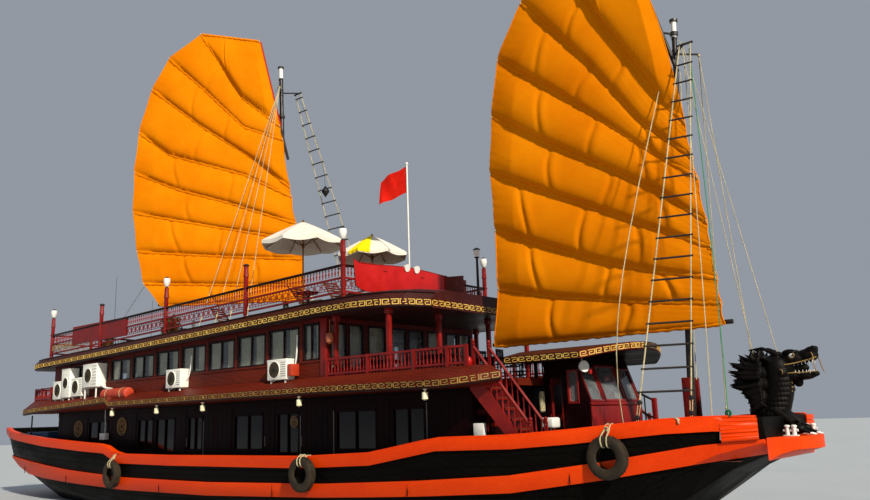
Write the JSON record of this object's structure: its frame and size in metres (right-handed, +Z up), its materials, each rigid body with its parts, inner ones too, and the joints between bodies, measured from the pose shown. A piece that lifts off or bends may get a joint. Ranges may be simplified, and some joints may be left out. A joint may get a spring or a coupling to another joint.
{
  "type": "two-masted cruise junk ship",
  "caption": "Decked wooden cruise junk afloat: two storeys of cabins, sun deck, wheelhouse, two swinging fan sails, dragon bow, rudder, propeller and doors.",
  "frame": {"origin": "amidships on the centre line, at the waterline", "axes": "+X to the bow, +Y to port, +Z up"},
  "size_m": [34.72, 8.3824, 19.55],
  "materials": {
    "black_hull": "satin tar-black paint on planks",
    "orange_paint": "satin orange paint on timber",
    "mahogany": "varnished mahogany with gold key band",
    "red_wood": "varnished red wood",
    "sail_cloth": "orange ochre padded cloth",
    "spar_wood": "dark tarred wood",
    "dragon_wood": "glossy dark lacquer with gold glints",
    "tyre_rubber": "worn black rubber",
    "bronze": "dull propeller bronze",
    "flag_cloth": "plain red cloth",
    "shade_cloth": "cream canvas",
    "white_enamel": "off-white enamel",
    "rope": "laid rope",
    "white_paint": "white paint",
    "red_paint": "faded red paint",
    "window_glass": "clear",
    "curtain_cloth": "cream curtain",
    "gold_paint": "gold paint",
    "dark_fittings": "black fittings",
    "green_rope": "green rope",
    "leaves": "green leaves",
    "tarpaulin": "blue tarpaulin"
  },
  "bodies": {
    "ship": {"hull": "black_hull", "bulwark_starboard": "black_hull", "bulwark_port": "black_hull", "gunwale_wale": "orange_paint", "rubbing_wale": "orange_paint", "bow_beak": "orange_paint", "dragon_figurehead": "dragon_wood", "keel_skeg": "black_hull", "lower_house_starboard": "red_wood", "lower_house_port": "red_wood", "lower_house_aft": "red_wood", "lower_house_front": "red_wood", "upper_deck": "mahogany", "upper_house_starboard": "red_wood", "upper_house_port": "red_wood", "upper_house_aft": "red_wood", "upper_house_front": "red_wood", "sun_deck": "mahogany", "sun_deck_rail": "red_wood", "veranda_rail_starboard": "red_wood", "veranda_rail_port": "red_wood", "aft_rail": "red_wood", "fore_mast": "spar_wood", "main_mast": "spar_wood", "fore_shrouds_starboard": "rope", "fore_shrouds_port": "rope", "main_shrouds_starboard": "rope", "main_shrouds_port": "rope", "wheelhouse": "red_wood", "wheelhouse_roof": "mahogany", "foredeck_stair_starboard": "red_wood", "foredeck_stair_port": "red_wood", "air_unit_middle": "white_enamel", "air_unit_fore": "white_enamel", "air_unit_tower": "white_enamel", "air_unit_pair": "white_enamel", "deck_drum": "red_paint", "sunshade_starboard": "shade_cloth", "sunshade_middle": "shade_cloth", "flag_pole": "white_paint", "flag": "flag_cloth", "tyre_starboard_1": "tyre_rubber", "tyre_starboard_2": "tyre_rubber", "tyre_starboard_3": "tyre_rubber", "tyre_port_1": "tyre_rubber", "tyre_port_2": "tyre_rubber", "tyre_port_3": "tyre_rubber"},
    "fore_sail": {"fore_sail_cloth": "sail_cloth", "fore_sail_boom": "spar_wood", "fore_sail_yard": "spar_wood"},
    "main_sail": {"main_sail_cloth": "sail_cloth", "main_sail_boom": "spar_wood", "main_sail_yard": "spar_wood"},
    "screw": {"propeller": "bronze", "propeller_shaft": "bronze"},
    "rudder": {"rudder": "black_hull"},
    "wheelhouse_door": {"wheelhouse_door": "red_wood"},
    "saloon_door": {"saloon_door": "red_wood"}
  },
  "joints": [
    {"name": "fore_sail_swing", "type": "hinge", "parent": "ship", "child": "fore_sail", "pos_m": [13.96, 0, 1.6], "axis": [0.0498, 0, 0.9988], "range_deg": [-60, 30]},
    {"name": "main_sail_swing", "type": "hinge", "parent": "ship", "child": "main_sail", "pos_m": [-0.72, 0, 1], "axis": [-0.041, 0, 0.9992], "range_deg": [-75, 8]},
    {"name": "screw_spin", "type": "hinge", "parent": "ship", "child": "screw", "pos_m": [-13.05, 0, -1], "axis": [1, 0, 0], "continuous": true},
    {"name": "rudder_turn", "type": "hinge", "parent": "ship", "child": "rudder", "pos_m": [-14.3, 0, 0], "axis": [0, 0, 1], "range_deg": [-35, 35]},
    {"name": "wheelhouse_door_swing", "type": "hinge", "parent": "ship", "child": "wheelhouse_door", "pos_m": [10.9, -1.3257, 1.67], "axis": [0, 0, 1], "range_deg": [-88, 0]},
    {"name": "saloon_door_swing", "type": "hinge", "parent": "ship", "child": "saloon_door", "pos_m": [9.5557, -2.3, 1.09], "axis": [0, 0, 1], "range_deg": [0, 95]}
  ]
}
